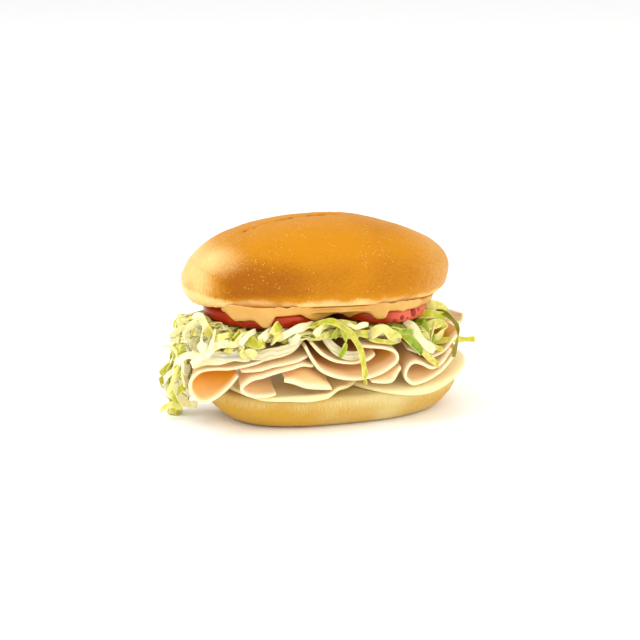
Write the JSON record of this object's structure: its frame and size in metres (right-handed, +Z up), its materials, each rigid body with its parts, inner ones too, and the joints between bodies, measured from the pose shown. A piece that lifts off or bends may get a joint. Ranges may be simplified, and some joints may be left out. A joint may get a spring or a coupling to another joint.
{
  "type": "turkey sub sandwich",
  "caption": "Turkey sub on a soft roll, filled with cheese slices, folded turkey, onion, shredded lettuce, tomato and a creamy dressing.",
  "frame": {"origin": "the middle of the underside of the whole sub, on the surface it rests on", "axes": "+X along the roll from the end with the spilling lettuce to the other, -Y to the front where the filling shows, +Z up"},
  "size_m": [0.1866, 0.0956, 0.1112],
  "materials": {
    "crust": "soft baked crust, golden brown with a faint sheen",
    "heel": "soft baked crust, paler than the top",
    "cheese": "smooth pale cheese, slightly waxy",
    "turkey": "moist sliced turkey breast, cream to pale peach",
    "onion": "raw white onion, wet and slightly see-through",
    "lettuce": "shredded iceberg lettuce, pale yellow-green with near-white ribs",
    "tomato": "ripe red tomato, wet",
    "sauce": "creamy pale yellow dressing, glossy"
  },
  "bodies": {
    "root": {"bun_bottom": "heel", "cheese_left": "cheese", "cheese_right": "cheese", "turkey_1": "turkey", "turkey_2": "turkey", "turkey_3": "turkey", "turkey_4": "turkey", "turkey_5": "turkey", "turkey_6": "turkey", "turkey_7": "turkey", "turkey_8": "turkey", "turkey_9": "turkey", "turkey_10": "turkey", "onion_1": "onion", "onion_2": "onion", "tomato_left": "tomato", "tomato_right": "tomato", "sauce": "sauce", "bun_top": "crust", "lettuce": "lettuce"}
  },
  "joints": []
}
